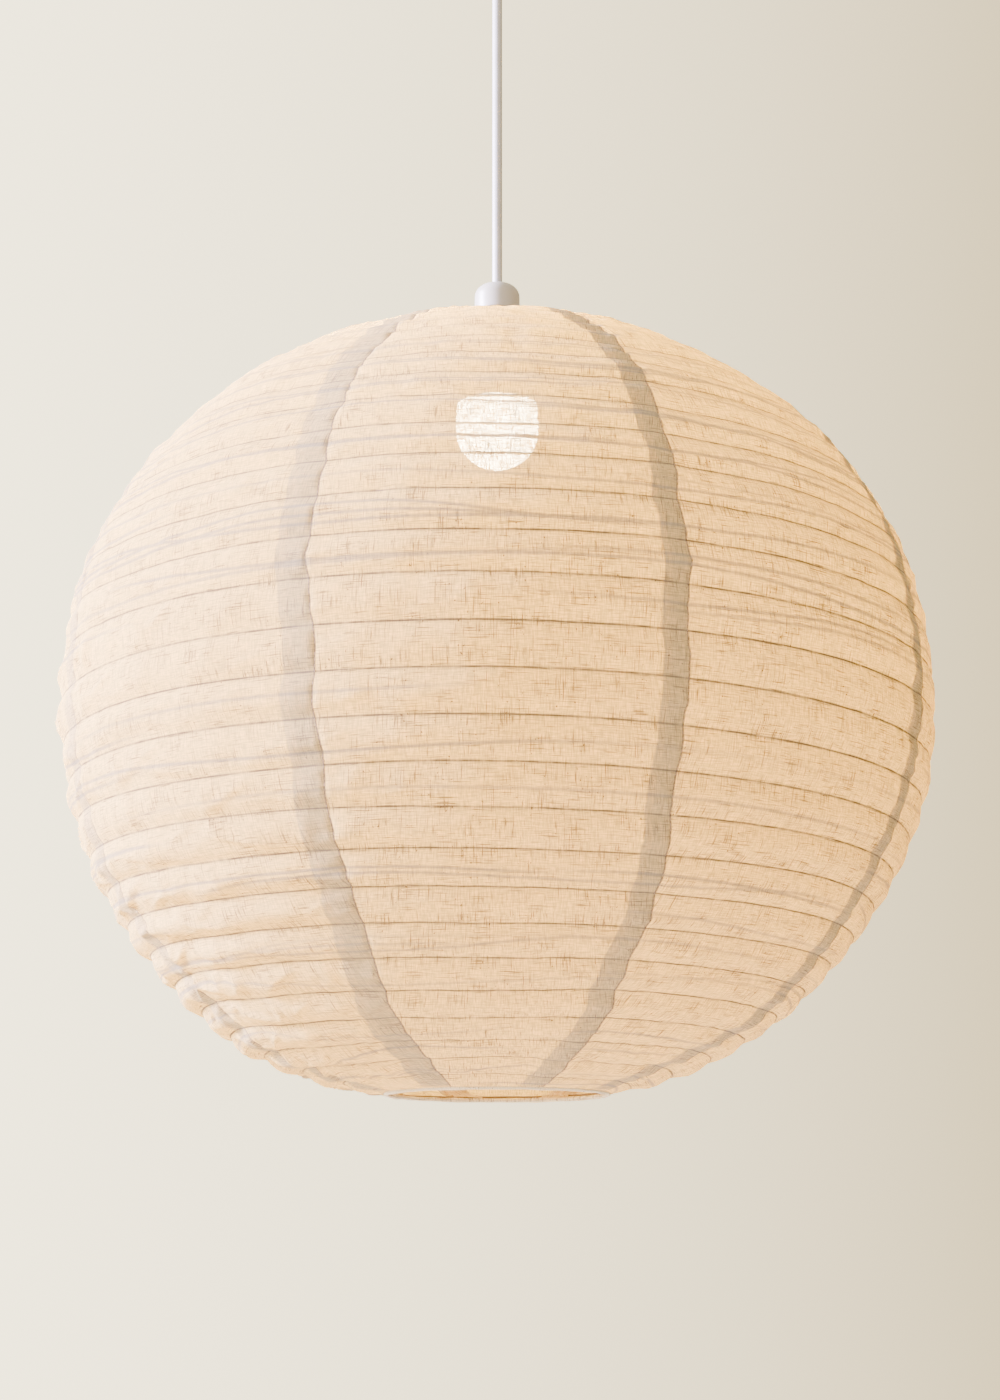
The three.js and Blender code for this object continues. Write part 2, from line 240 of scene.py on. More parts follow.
def painted_shade_masks(shade):
    """Four masks of painted shade, 0 to 1: the rib wire's shadow along each rib, the shade along a seam's
    needle line, the shade where a crease doubles the cloth, and the shade of the seam allowance that shows
    through."""
    bay = shade.node("UVMap", uv_map="bay").outputs[0]
    split = shade.node("SeparateXYZ")
    shade.link(bay, split.inputs[0])
    uneven = shade.noise(bay, 1.0, 3, 0.6, (60, 0.9, 1))
    nearest = shade.math("SUBTRACT", split.outputs[1], shade.math("ROUND", split.outputs[1]))
    from_rib = shade.math("MULTIPLY", nearest, RIB_PITCH)
    rib = narrow_line(shade, from_rib, 0.25 * MM, 0.75 * MM)
    rib = shade.math("MULTIPLY", rib, shade.ramp(uneven, 0.32, 0.6, 0.2, 1.0))
    needle = narrow_line(shade, split.outputs[0], 0.3 * MM, 0.8 * MM)
    # Painted shade of the seam allowance behind the cloth, a little deeper where its second layer lies.
    layers = shade.node("UVMap", uv_map="layers").outputs[0]
    behind = shade.node("SeparateXYZ")
    shade.link(layers, behind.inputs[0])
    ragged = shade.math("MULTIPLY", shade.noise(layers, 1.0, 2, 0.6, (0, 190, 1)), 2.4 * MM)
    inward = shade.math("ADD", behind.outputs[0], ragged)
    wide, narrow = (
        shade.ramp(inward, width + 0.9 * MM, width + 1.5 * MM, 1.0, 0.0)
        for width in (SEAM_WIDTH, UNDER_SHARE * SEAM_WIDTH)
    )
    tape = shade.math("ADD", shade.math("MULTIPLY", wide, 0.8), shade.math("MULTIPLY", narrow, 0.2))
    crease_shade = 0.0
    for number in range(len(CREASES)):
        crease_uv = shade.node("UVMap", uv_map=f"crease_{number}").outputs[0]
        parts = shade.node("SeparateXYZ")
        shade.link(crease_uv, parts.inputs[0])
        fold = narrow_line(shade, parts.outputs[0], 0.5 * MM, 1.5 * MM)
        fold = shade.math("MULTIPLY", fold, parts.outputs[1])
        crease_shade = shade.math("ADD", fold, crease_shade, clamp=True)
    return rib, needle, crease_shade, tape


def linen(name, through, front, share_through, pores, lines):
    """Backlit linen. through colours the light from inside, front the light that falls on it. pores scales
    the open share between threads, and lines adds the marks of ribs, seams and creases."""
    shade = Shade(name)
    warp, weft, slub, speck, cloud = cloth_threads(shade)
    cross = shade.math("MULTIPLY", *(
        shade.math("ADD", shade.math("MULTIPLY", threads, 0.45), 0.55) for threads in (warp, weft)
    ))
    thread = shade.math("MULTIPLY", cross, shade.ramp(cloud, 0.3, 0.7, 0.88, 1.0))
    dark, speckled = shade.math("MULTIPLY", slub, 0.74), shade.math("MULTIPLY", speck, 0.85)
    dark = shade.math("ADD", dark, speckled, clamp=True)
    rib, needle, crease_shade, tape = painted_shade_masks(shade) if lines else (0.0, 0.0, 0.0, 0.0)
    # Painted shade: the rib wire's shadow as a dark line on every rib, and a dark line along each seam's
    # needle line, joined with the slubs in dark.
    painted_line_shade, needle_shade = shade.math("MULTIPLY", rib, 0.75), shade.math("MULTIPLY", needle, 0.7)
    painted_line_shade = shade.math("ADD", painted_line_shade, needle_shade, clamp=True)
    dark = shade.math("MAXIMUM", dark, painted_line_shade)
    tone = shade.math("MULTIPLY", thread, shade.math("SUBTRACT", 1.0, dark))
    # Painted crease shade: the cloth's tone darkens where a fold would double it.
    tone = shade.math("MULTIPLY", tone, shade.math("SUBTRACT", 1.0, shade.math("MULTIPLY", crease_shade, 0.6)))
    straw, line_shade_tone = (0.30, 0.17, 0.08), (0.22, 0.15, 0.10)
    lit = shade.mix(shade.math("MULTIPLY", dark, 0.6), through, straw)
    # Painted wire and needle-line shade in the light from inside.
    lit = shade.mix(painted_line_shade, lit, (0.34, 0.25, 0.17))
    # Painted seam-allowance shade in the light from inside.
    lit = shade.mix(shade.math("MULTIPLY", tape, 0.15), lit, (0.30, 0.24, 0.16))
    lit = shade.mix(tone, (0, 0, 0), lit)
    outside = shade.mix(dark, front, straw)
    # Painted wire and needle-line shade on the outside colour.
    outside = shade.mix(painted_line_shade, outside, line_shade_tone)
    # Painted crease shade on the outside colour, a greyer tone.
    outside = shade.mix(shade.math("MULTIPLY", crease_shade, 0.75), outside, (0.46, 0.37, 0.27))
    # Painted seam-allowance shade on the outside colour.
    outside = shade.mix(shade.math("MULTIPLY", tape, 0.33), outside, (0.40, 0.33, 0.26))
    outside = shade.mix(shade.ramp(cross, 0.5, 1.0, 0.8, 1.0), (0, 0, 0), outside)
    normal = shade.bump(shade.math("ADD", cross, slub), 0.25, 0.0004)
    translucent = shade.node("BsdfTranslucent")
    shade.link(lit, translucent.inputs["Color"])
    shade.link(normal, translucent.inputs["Normal"])
    diffuse = shade.node("BsdfDiffuse")
    diffuse.inputs["Roughness"].default_value = 0.6
    shade.link(outside, diffuse.inputs["Color"])
    shade.link(normal, diffuse.inputs["Normal"])
    cloth = shade.node("MixShader")
    cloth.inputs[0].default_value = share_through
    shade.link(diffuse.outputs[0], cloth.inputs[1])
    shade.link(translucent.outputs[0], cloth.inputs[2])
    if not pores:
        return shade.finish(cloth.outputs[0])
    gaps = shade.math("MULTIPLY", shade.math("SUBTRACT", 1.0, warp), shade.math("SUBTRACT", 1.0, weft))
    open_share = shade.math("MULTIPLY", shade.math("ADD", gaps, 0.05), pores)
    covered = shade.math("ADD", dark, crease_shade, clamp=True)
    open_share = shade.math("MULTIPLY", open_share, shade.math("SUBTRACT", 1.0, covered))
    clear = shade.node("BsdfTransparent")
    holes = shade.node("MixShader")
    shade.link(open_share, holes.inputs[0])
    shade.link(cloth.outputs[0], holes.inputs[1])
    shade.link(clear.outputs[0], holes.inputs[2])
    return shade.finish(holes.outputs[0])


WORN = 0.88  # the darker patches of a plain surface, against the rest
DRAWN = (40, 40, 900)  # how much finer a brushed metal's noise is along each axis


def plain(name, color, roughness, grain=900.0):
    """Moulded plastic, ceramic, paint or thread: fine grain in colour, roughness and bump."""
    shade = Shade(name)
    place = shade.node("TexCoord").outputs["Object"]
    fine = shade.noise(place, grain, 3, 0.6)
    broad = shade.noise(place, 35.0, 3, 0.5)
    tint = tuple(c * WORN for c in color)
    base = shade.mix(shade.ramp(broad, 0.35, 0.7), color, tint)
    rough = shade.ramp(fine, 0.3, 0.7, max(roughness - 0.07, 0.05), roughness + 0.08)
    normal = shade.bump(fine, 0.3, 0.08 * MM)
    body = shade.principled(base, roughness, 0.0, normal, rough)
    return shade.finish(body.outputs[0])


def brushed(name, color, roughness):
    """Drawn wire or turned metal, with fine streaks along its drawing."""
    shade = Shade(name)
    place = shade.node("TexCoord").outputs["Object"]
    streak = shade.noise(place, 1.0, 3, 0.6, DRAWN)
    base = shade.mix(shade.ramp(streak, 0.3, 0.7), color, tuple(c * 0.8 for c in color))
    rough = shade.ramp(streak, 0.3, 0.7, roughness - 0.05, roughness + 0.1)
    body = shade.principled(base, roughness, 1.0, shade.bump(streak, 0.2, 0.00005), rough)
    return shade.finish(body.outputs[0])


def glowing(name, color, strength):
    shade = Shade(name)
    place = shade.node("TexCoord").outputs["Object"]
    frost = shade.noise(place, 600.0, 2, 0.5)
    body = shade.principled((0.95, 0.94, 0.9), 0.5, 0.0, shade.bump(frost, 0.2, 0.00005))
    body.inputs["Emission Color"].default_value = (*color, 1)
    body.inputs["Emission Strength"].default_value = strength
    return shade.finish(body.outputs[0])


# ---------------------------------------------------------------- mesh helpers
LATHE_SHARP = 35  # in degrees: an edge that turns more than this stays sharp
TUBE_SHARP = 50


def new_object(name, vertices, faces, material, sharp=None):
    mesh = bpy.data.meshes.new(name)
    mesh.from_pydata([tuple(v) for v in vertices], [], [tuple(f) for f in faces])
    mesh.validate()
    mesh.materials.append(material)
    mesh.polygons.foreach_set("use_smooth", [True] * len(mesh.polygons))
    if sharp is not None:
        mesh.set_sharp_from_angle(angle=math.radians(sharp))
    made = bpy.data.objects.new(name, mesh)
    bpy.context.scene.collection.objects.link(made)
    return made


def grid_faces(rows, columns):
    """Quads of a grid of points numbered row by row."""
    return [
        (r * columns + c, (r + 1) * columns + c, (r + 1) * columns + c + 1, r * columns + c + 1)
        for r in range(rows - 1)
        for c in range(columns - 1)
    ]


def ring_faces(rings, sides, cyclic):
    """Quads between rings of points. With cyclic, the last ring joins the first."""
    faces = []
    for r in range(rings if cyclic else rings - 1):
        n = (r + 1) % rings
        for c in range(sides):
            d = (c + 1) % sides
            faces.append((r * sides + c, r * sides + d, n * sides + d, n * sides + c))
    return faces


def lathe(name, profile, material, segments=96):
    """Turns (radius, z) points about Z. A profile runs from axis to axis, or closes on itself."""
    points = [tuple(p) for p in profile]
    closed = points[0][0] > 1e-9
    angles = [TURN * i / segments for i in range(segments)]
    vertices, rings = [], []
    for radius, z in points:
        if radius < 1e-9:
            rings.append([len(vertices)] * segments)
            vertices.append((0, 0, z))
        else:
            rings.append([len(vertices) + i for i in range(segments)])
            vertices += [(radius * math.sin(a), -radius * math.cos(a), z) for a in angles]
    pairs = list(zip(rings, rings[1:])) + ([(rings[-1], rings[0])] if closed else [])
    faces = []
    for upper, lower in pairs:
        for i in range(segments):
            j = (i + 1) % segments
            loop = [upper[i], lower[i], lower[j], upper[j]]
            face = [v for k, v in enumerate(loop) if v != loop[k - 1]]
            if len(set(face)) > 2:
                faces.append(face)
    made = new_object(name, vertices, faces, material, LATHE_SHARP)
    outward(made)
    return made


def outward(made):
    """Turns a closed mesh's faces outwards."""
    work = bmesh.new()
    work.from_mesh(made.data)
    bmesh.ops.recalc_face_normals(work, faces=work.faces)
    work.to_mesh(made.data)
    work.free()


def tube_points(points, radius, sides, cyclic=False):
    """Vertices and faces of a round tube along points, with a frame carried along the path."""
    path = np.array(points, float)
    ahead = np.roll(path, -1, 0) - np.roll(path, 1, 0)
    if not cyclic:
        ahead[0], ahead[-1] = path[1] - path[0], path[-1] - path[-2]
    ahead /= np.linalg.norm(ahead, axis=1)[:, None]
    side = np.cross(ahead[0], (0.3, 0.2, 0.93))
    side /= np.linalg.norm(side)
    vertices = []
    angles = np.arange(sides) * TURN / sides
    for point, forward in zip(path, ahead):
        side = side - forward * side.dot(forward)
        side /= np.linalg.norm(side)
        up = np.cross(forward, side)
        ring = point + radius * (np.cos(angles)[:, None] * side + np.sin(angles)[:, None] * up)
        vertices.append(ring)
    count = len(path)
    faces = ring_faces(count, sides, cyclic)
    if not cyclic:
        faces.append(tuple(range(sides))[::-1])
        faces.append(tuple((count - 1) * sides + i for i in range(sides)))
    return np.vstack(vertices), faces


def tube(name, points, radius, material, sides=12, cyclic=False):
    vertices, faces = tube_points(points, radius, sides, cyclic)
    return new_object(name, vertices, faces, material, TUBE_SHARP)


def rounded_path(points, radius, steps=7):
    """Straight runs between points, with each inner corner rounded off."""
    p = [np.array(q, float) for q in points]
    out = [p[0]]
    for before, corner, after in zip(p, p[1:], p[2:]):
        back, on = before - corner, after - corner
        reach = min(radius, 0.45 * np.linalg.norm(back), 0.45 * np.linalg.norm(on))
        start = corner + back / np.linalg.norm(back) * reach
        end = corner + on / np.linalg.norm(on) * reach
        for t in np.linspace(0, 1, steps):
            out.append((1 - t) ** 2 * start + 2 * t * (1 - t) * corner + t**2 * end)
    out.append(p[-1])
    return out


def place(made, body, slot, *nodes):
    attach(made, body)
    if nodes:
        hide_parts(*nodes)
    return made


def lattice(ix, iy, seed):
    """A repeatable value from -1 to 1 for each whole-number place."""
    mask = np.uint64(0xFFFFFFFF)
    h = (ix.astype(np.int64).astype(np.uint64) * np.uint64(374761393)) & mask
    h = (h + iy.astype(np.int64).astype(np.uint64) * np.uint64(668265263)) & mask
    h = (h + np.uint64(seed) * np.uint64(2246822519)) & mask
    h = ((h ^ (h >> np.uint64(13))) * np.uint64(1274126177)) & mask
    h = h ^ (h >> np.uint64(16))
    return (h & mask).astype(float) / 2147483647.5 - 1


def smooth_noise(x, y, seed, wrap=0):
    """Smooth values from -1 to 1. With wrap, x repeats after that many steps."""
    x, y = np.broadcast_arrays(np.asarray(x, float), np.asarray(y, float))
    ix, iy = np.floor(x), np.floor(y)
    fx, fy = x - ix, y - iy
    fx, fy = fx * fx * fx * (fx * (6 * fx - 15) + 10), fy * fy * fy * (fy * (6 * fy - 15) + 10)
    left, right = (ix % wrap, (ix + 1) % wrap) if wrap else (ix, ix + 1)
    a, b = lattice(left, iy, seed), lattice(right, iy, seed)
    c, d = lattice(left, iy + 1, seed), lattice(right, iy + 1, seed)
    return (a + (b - a) * fx) * (1 - fy) + (c + (d - c) * fx) * fy


def soft_step(value, low, high):
    t = np.clip((value - low) / (high - low), 0, 1)
    return t * t * (3 - 2 * t)


# ---------------------------------------------------------------- the shade's surface
def make_meridian():
    start = math.asin((RING_RADIUS / EQUATOR_RADIUS) ** (ROUNDNESS / 2))
    t = np.linspace(start, math.pi - start, 4001)
    across = EQUATOR_RADIUS * np.sin(t) ** (2 / ROUNDNESS)
    up = HALF_HEIGHT * np.sign(np.cos(t)) * np.abs(np.cos(t)) ** (2 / ROUNDNESS)
    length = np.concatenate([[0], np.cumsum(np.hypot(np.diff(across), np.diff(up)))])
    slope = np.hypot(np.gradient(across), np.gradient(up))
    return length, across, EQUATOR_Z + up, -np.gradient(up) / slope, np.gradient(across) / slope


LENGTH, ACROSS, UP, OUT, LIFT = make_meridian()
TOTAL = LENGTH[-1]

# the cloth's relief, and how far its ribs and seams stray
BULGE = 2.0 * MM  # between two ribs
WOBBLE = 1.8 * MM
CRUMPLE = 0.42 * MM
TUCK = 0.45 * MM  # at a crease
FOLD = 2.8 * MM
FOLD_ANGLE = 0.32
PUCKER = 0.5 * MM  # at a rib
GATHER = 1.4 * MM  # at a seam
GROOVE = 0.9 * MM  # along a seam's needle line
SWAY = 4.0 * MM  # ribs away from an even pitch
SWAY_WAVE = 370 * MM
SWAY_START = 398 * MM
SETTLE = 2.4 * MM
SAG = 3.2 * MM
SAG_PLACE = 655 * MM
SHOULDER = 2.8 * MM
SHOULDER_PLACE = 105 * MM
ZIGZAG = 2.1 * MM
BOW = 1.6 * MM


def surface(along, azimuth, proud):
    """Points at an arc length from the top ring and an azimuth from -Y, standing proud of the meridian."""
    radius = np.interp(along, LENGTH, ACROSS) + proud * np.interp(along, LENGTH, OUT)
    z = np.interp(along, LENGTH, UP) + proud * np.interp(along, LENGTH, LIFT)
    return np.stack([radius * np.sin(azimuth), -radius * np.cos(azimuth), z], -1)


def edge_fade(nominal, reach=1.2):
    return soft_step(np.minimum(nominal, TOTAL - nominal), 0, reach * RIB_PITCH)


def turn_share(azimuth):
    return (azimuth - FIRST_SEAM) / TURN


def rib_turns(nominal, azimuth):
    """Counts the ribs down the cloth: a whole number on the wire."""
    return nominal / RIB_PITCH - turn_share(azimuth) - RIB_LEAD


def swayed(nominal, azimuth):
    """The ribs wander a little from an even pitch."""
    wave = SWAY * np.sin(TURN * (nominal - SWAY_START) / SWAY_WAVE)
    drift = 0.9 * MM * smooth_noise(azimuth / TURN * 9, nominal / RIB_PITCH * 0.8, 11, 9)
    return nominal + (wave + drift) * edge_fade(nominal, 2)


def wobble(nominal, azimuth):
    round_share = azimuth / TURN
    wide = smooth_noise(round_share * 16, nominal / (105 * MM), 21, 16)
    small = smooth_noise(round_share * 38, nominal / (48 * MM), 22, 38)
    crumple = smooth_noise(round_share * 130, nominal / (11 * MM), 23, 130)
    left = np.clip(-np.sin(azimuth), 0, 1)
    sag = SAG * (1 + left) * np.exp(-(((nominal - SAG_PLACE) / (60 * MM)) ** 2))
    slump = SHOULDER * (1 + 0.6 * np.sin(azimuth))
    slump = slump * np.exp(-(((nominal - SHOULDER_PLACE) / (50 * MM)) ** 2))
    stray = WOBBLE * wide + 0.7 * MM * small + CRUMPLE * crumple + sag - slump - SETTLE
    return stray * edge_fade(nominal)


def relief(nominal, azimuth, seam_distance):
    """How far the cloth stands off its wire: bulge, tucks, folds, gathers and puckers between two ribs."""
    turns = rib_turns(nominal, azimuth)
    band = np.floor(turns)
    share = turns - band
    helix = band + turn_share(azimuth)
    arch = np.sin(math.pi * share)
    fade = edge_fade(nominal)
    bulge = BULGE * arch * (1 + 0.45 * smooth_noise(helix * 13, 0.5, 31))
    tuck = 0
    for seed in CREASES:
        path, there = crease(helix, seed)
        across = share - path
        tuck = tuck + TUCK * there * (
            0.6 * np.exp(-(((across - 0.13) / 0.1) ** 2)) - np.exp(-((across / 0.055) ** 2))
        )
    round_front = (azimuth + math.pi) % TURN - math.pi
    x = round_front * EQUATOR_RADIUS
    ridge = 0
    fold_sets = ((FOLD_ANGLE, 95 * MM, 17 * MM, 51), (-0.6 * FOLD_ANGLE, 70 * MM, 21 * MM, 55))
    for angle, long, apart, seed in fold_sets:
        slant = x * math.sin(angle) + nominal * math.cos(angle)
        run = x * math.cos(angle) - nominal * math.sin(angle)
        ridge = np.maximum(ridge, 1 - np.abs(smooth_noise(run / long, slant / apart, seed)) * 2.4)
    left_low = soft_step(-round_front, 0.35, 0.9) * soft_step(nominal, 250 * MM, 420 * MM)
    away_from_back = soft_step(math.pi - np.abs(round_front), 0.05, 0.5)
    fold = FOLD * np.clip(ridge, 0, 1) ** 1.5 * arch * (0.22 + 0.78 * left_low) * away_from_back
    near_rib = (1 - arch) ** 3
    pucker = PUCKER * np.maximum(smooth_noise(helix * 210, 0.5, 61), 0) * near_rib
    near_seam = np.exp(-seam_distance / (11 * MM))
    gather = GATHER * smooth_noise(helix * 31, share * 4, 62) * near_seam * arch
    groove = -GROOVE * np.exp(-((seam_distance / (1.7 * MM)) ** 2)) * arch
    return (bulge + tuck + fold + gather + groove) * fade + pucker * fade


def seam_azimuth(index, nominal):
    """The stitch line of a seam kinks a little at each rib."""
    azimuth = FIRST_SEAM + index * GORE
    turns = rib_turns(nominal, azimuth)
    rib = np.floor(turns)
    share = turns - rib
    rib = rib + (1 if index == GORES else 0)
    spots = np.full_like(rib, 7.3 * (index % GORES))
    here, below = lattice(rib, spots, 71), lattice(rib + 1, spots, 71)
    kink = ZIGZAG * (here + (below - here) * share) + BOW * lattice(rib, spots, 73) * np.sin(math.pi * share)
    kink = kink + SEAM_SHIFT.get(index % GORES, 0)
    lean = 3.0 * MM * smooth_noise(nominal / (150 * MM), 0.5 + 3 * (index % GORES), 72)
    radius = np.interp(nominal, LENGTH, ACROSS)
    return azimuth + (kink + lean) * edge_fade(nominal) / radius


def row_shares(index):
    """Nominal arc lengths of a gore's rows at its left and right edges, with a row on every rib."""
    left, right = RIB_LEAD + index / GORES, RIB_LEAD + (index + 1) / GORES
    ribs = np.arange(-1, int(TOTAL / RIB_PITCH) + 1)
    margin = 0.35 * RIB_PITCH
    kept = [k for k in ribs if (k + left) * RIB_PITCH > margin and (k + right) * RIB_PITCH < TOTAL - margin]
    lines = [((k + left) * RIB_PITCH, (k + right) * RIB_PITCH) for k in kept]
    lines = [(0.0, 0.0)] + lines + [(TOTAL, TOTAL)]
    rows = []
    for (a, b), (c, d) in zip(lines, lines[1:]):
        for i in range(ROWS_PER_BAND):
            t = i / ROWS_PER_BAND
            rows.append((a + (c - a) * t, b + (d - b) * t))
    rows.append(lines[-1])
    return np.array(rows)


def set_uv(made, uv):
    layer = made.data.uv_layers.new(name="cloth")
    corners = np.zeros(len(made.data.loops), np.int32)
    made.data.loops.foreach_get("vertex_index", corners)
    layer.data.foreach_set("uv", uv[corners].astype(np.float32).ravel())


def crease(helix, seed):
    """Where a pinched crease runs between two ribs, from 0 to 1 across the bay, and how strong it is."""
    path = 0.5 + 0.40 * smooth_noise(helix * 9, 0.5, seed)
    low, high = CREASED_BAYS
    more = soft_step(helix, low, low + 2) * (1 - soft_step(helix, high - 2, high))
    there = soft_step(smooth_noise(helix * 6, 0.5, seed + 1) + 0.45 * more, 0.0, 0.5)
    return path, there


def set_lines(made, turns, azimuth, distance, from_right, nominal):
    """Coordinates for the painted shade lines on the cloth: the nearest seam and rib, the seam allowance
    behind it, and each crease, which stays on its own side of a rib."""
    turns, azimuth, distance, from_right, nominal = (
        np.stack([a[:-1, :-1], a[1:, :-1], a[1:, 1:], a[:-1, 1:]], -1)
        for a in (turns, azimuth, distance, from_right, nominal)
    )
    band = np.floor(turns.mean(-1, keepdims=True))
    share = turns - band
    layers = {"bay": np.stack([distance, turns], -1), "layers": np.stack([from_right, nominal], -1)}
    for number, seed in enumerate(CREASES):
        path, there = crease(band + turn_share(azimuth), seed)
        layers[f"crease_{number}"] = np.stack([(share - path) * RIB_PITCH, there], -1)
    for name, values in layers.items():
        layer = made.data.uv_layers.new(name=name)
        layer.data.foreach_set("uv", values.astype(np.float32).ravel())


def make_gore(index, material):
    rows = row_shares(index)
    x = np.linspace(0, 1, COLUMNS)
    x = 0.5 * x + 0.25 * (1 - np.cos(math.pi * x))
    nominal = rows[:, :1] + (rows[:, 1:] - rows[:, :1]) * x[None, :]
    left, right = seam_azimuth(index, nominal), seam_azimuth(index + 1, nominal)
    azimuth = left + (right - left) * x[None, :]
    radius = np.interp(nominal, LENGTH, ACROSS)
    distance = np.minimum(azimuth - left, right - azimuth) * radius
    proud = wobble(nominal, azimuth) + relief(nominal, azimuth, distance)
    points = surface(swayed(nominal, azimuth), azimuth, proud)
    faces = grid_faces(len(rows), COLUMNS)
    centre = FIRST_SEAM + (index + 0.5) * GORE
    uv = np.stack([(azimuth - centre) * radius + 1.7 * index, nominal], -1).reshape(-1, 2)
    made = new_object(f"gore_cloth_{index + 1}", points.reshape(-1, 3), faces, material)
    set_uv(made, uv)
    from_right = (right - azimuth) * radius / SEAM_TRIM.get(index + 1, 1)
    set_lines(made, rib_turns(nominal, azimuth), azimuth, distance, from_right, nominal)
    return made


def make_band(index, material, width, depth, name):
    """A seam allowance: it hugs the cloth from behind, passes inside the rib wire, and lies on the
    clockwise side of seam index, seen from above."""
    rows = row_shares(index - 1)[:, 1]
    rows = rows[(rows > 4 * MM) & (rows < TOTAL - 4 * MM)]
    turned = np.array([0.97, 0.92, 0.88]) if depth == SEAM_DEPTH else np.array([])
    flat = np.linspace(0, 1, 10)
    steps = np.concatenate([flat, turned])
    under = np.concatenate([np.zeros(len(flat)), np.array([0.15, 0.25, 0.3])[: len(turned)]]) * MM
    nominal = np.repeat(rows[:, None], len(steps), 1)
    radius = np.interp(nominal, LENGTH, ACROSS)
    ragged = 0.8 * MM * smooth_noise(nominal / (5 * MM), 0.5 + index, 81)
    reach = steps * (width + ragged) + 0.2 * MM
    azimuth = seam_azimuth(index, nominal) - reach / radius
    turns = rib_turns(nominal, azimuth)
    from_rib = np.abs(turns - np.round(turns)) * RIB_PITCH
    over_wire = 2 * RIB_WIRE * (1 - soft_step(from_rib, 1.2 * MM, 5 * MM))
    lift = wobble(nominal, azimuth) + relief(nominal, azimuth, reach) - over_wire - depth - under
    points = surface(swayed(nominal, azimuth), azimuth, lift)
    made = new_object(name, points.reshape(-1, 3), grid_faces(len(rows), len(steps)), material)
    set_uv(made, np.stack([reach + 0.61 * index, nominal + 0.37], -1).reshape(-1, 2))
    return made


def fold_flat(made):
    """Gives a piece its own copy of its mesh data."""
    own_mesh(made)


def make_stitches(material):
    """Short thread stitches along every seam."""
    pitch, length, radius = 3.4 * MM, 2.4 * MM, 0.16 * MM
    vertices, faces = [], []
    for index in range(GORES):
        starts = np.arange(6 * MM, TOTAL - 8 * MM, pitch)
        for start in starts:
            nominal = start + np.array([0, 0.25, 0.75, 1]) * length
            azimuth = seam_azimuth(index, nominal)
            dip = np.array([-0.35, 0.08, 0.08, -0.35]) * MM
            lift = wobble(nominal, azimuth) + relief(nominal, azimuth, np.zeros(4)) + dip
            path = surface(swayed(nominal, azimuth), azimuth, lift)
            points, loops = tube_points(path, radius, 5)
            offset = len(vertices)
            vertices += list(points)
            faces += [tuple(v + offset for v in loop) for loop in loops]
    return new_object("seam_stitches", vertices, faces, material)


def make_rib_wire(material):
    turns = np.arange(0, TOTAL / RIB_PITCH, 1 / 144)
    azimuth = FIRST_SEAM + TURN * (turns - RIB_LEAD)
    nominal = turns * RIB_PITCH
    path = surface(swayed(nominal, azimuth), azimuth, wobble(nominal, azimuth) - RIB_DEPTH)
    return tube("rib_helix_wire", path, RIB_WIRE, material, 8)


def make_hem(name, z, material, seed):
    """Cloth rolled round an end ring, gathered at each seam."""
    around, over = 360, 14
    azimuth = np.repeat(np.arange(around)[:, None] * TURN / around, over, 1)
    roll = np.repeat(np.arange(over)[None, :] * TURN / over, around, 0)
    gather = smooth_noise(azimuth / TURN * 90, roll * 1.2, seed, 90)
    broad = smooth_noise(azimuth / TURN * 22, roll * 0.6, seed + 1, 22)
    seam = np.abs(((azimuth - FIRST_SEAM) / GORE + 0.5) % 1 - 0.5) * GORE * RING_RADIUS
    thick = 1.5 * MM + 0.12 * MM * gather + 0.15 * MM * broad + 0.35 * MM * np.exp(-((seam / (6 * MM)) ** 2))
    radius = RING_RADIUS + thick * np.cos(roll)
    height = z + thick * np.sin(roll)
    points = np.stack([radius * np.sin(azimuth), -radius * np.cos(azimuth), height], -1).reshape(-1, 3)
    made = new_object(name, points, ring_faces(around, over, True), material)
    outward(made)
    set_uv(made, np.stack([azimuth * RING_RADIUS + seed, roll * 3 * MM], -1).reshape(-1, 2))
    return made


def make_shade(cloth, tape, hem, thread, wire):
    rib = place(make_rib_wire(wire), "shade", "rib_wire", "rib_wire")
    fold_flat(rib)
    for name, z, body, seed in (("top", TOP_Z, "shade", 91), ("bottom", BOTTOM_Z, "bottom", 95)):
        place(make_hem(f"{name}_rolled_hem", z, hem, seed), body, "tape", f"{name}_hem")
    stitches = place(make_stitches(thread), "shade", "tape")
    fold_flat(stitches)
    for index in range(GORES):
        gore = place(make_gore(index, cloth), "shade", "linen", f"gore_{index + 1}")
        seam_width = SEAM_WIDTH * SEAM_TRIM.get(index + 1, 1)
        wide = make_band(index + 1, tape, seam_width, SEAM_DEPTH, f"seam_allowance_{index + 1}")
        place(wide, "shade", "tape", f"seam_band_{index + 1}")
        under_width = UNDER_SHARE * seam_width
        narrow = make_band(index + 1, tape, under_width, UNDER_DEPTH, f"seam_allowance_under_{index + 1}")
        place(narrow, "shade", "tape")
        for piece in (gore, wide, narrow):
            fold_flat(piece)


# ---------------------------------------------------------------- cord and ceiling rose
def make_cord(material):
    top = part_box("cord")[1].z + 1.5 * MM
    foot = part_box("cord")[0].z - 3 * MM
    count = 18
    data = bpy.data.curves.new("hanging_cord", "CURVE")
    data.dimensions = "3D"
    spline = data.splines.new("POLY")
    spline.points.add(count - 1)
    for i, point in enumerate(spline.points):
        point.co = (0, 0, top + (foot - top) * i / (count - 1), 1)
    data.bevel_depth = CORD_RADIUS
    data.bevel_resolution = 8
    data.use_fill_caps = True
    data.materials.append(material)
    made = bpy.data.objects.new("hanging_cord", data)
    bpy.context.scene.collection.objects.link(made)
    place(made, "cord", "cord_sheath", "cord")
    return made, top - foot


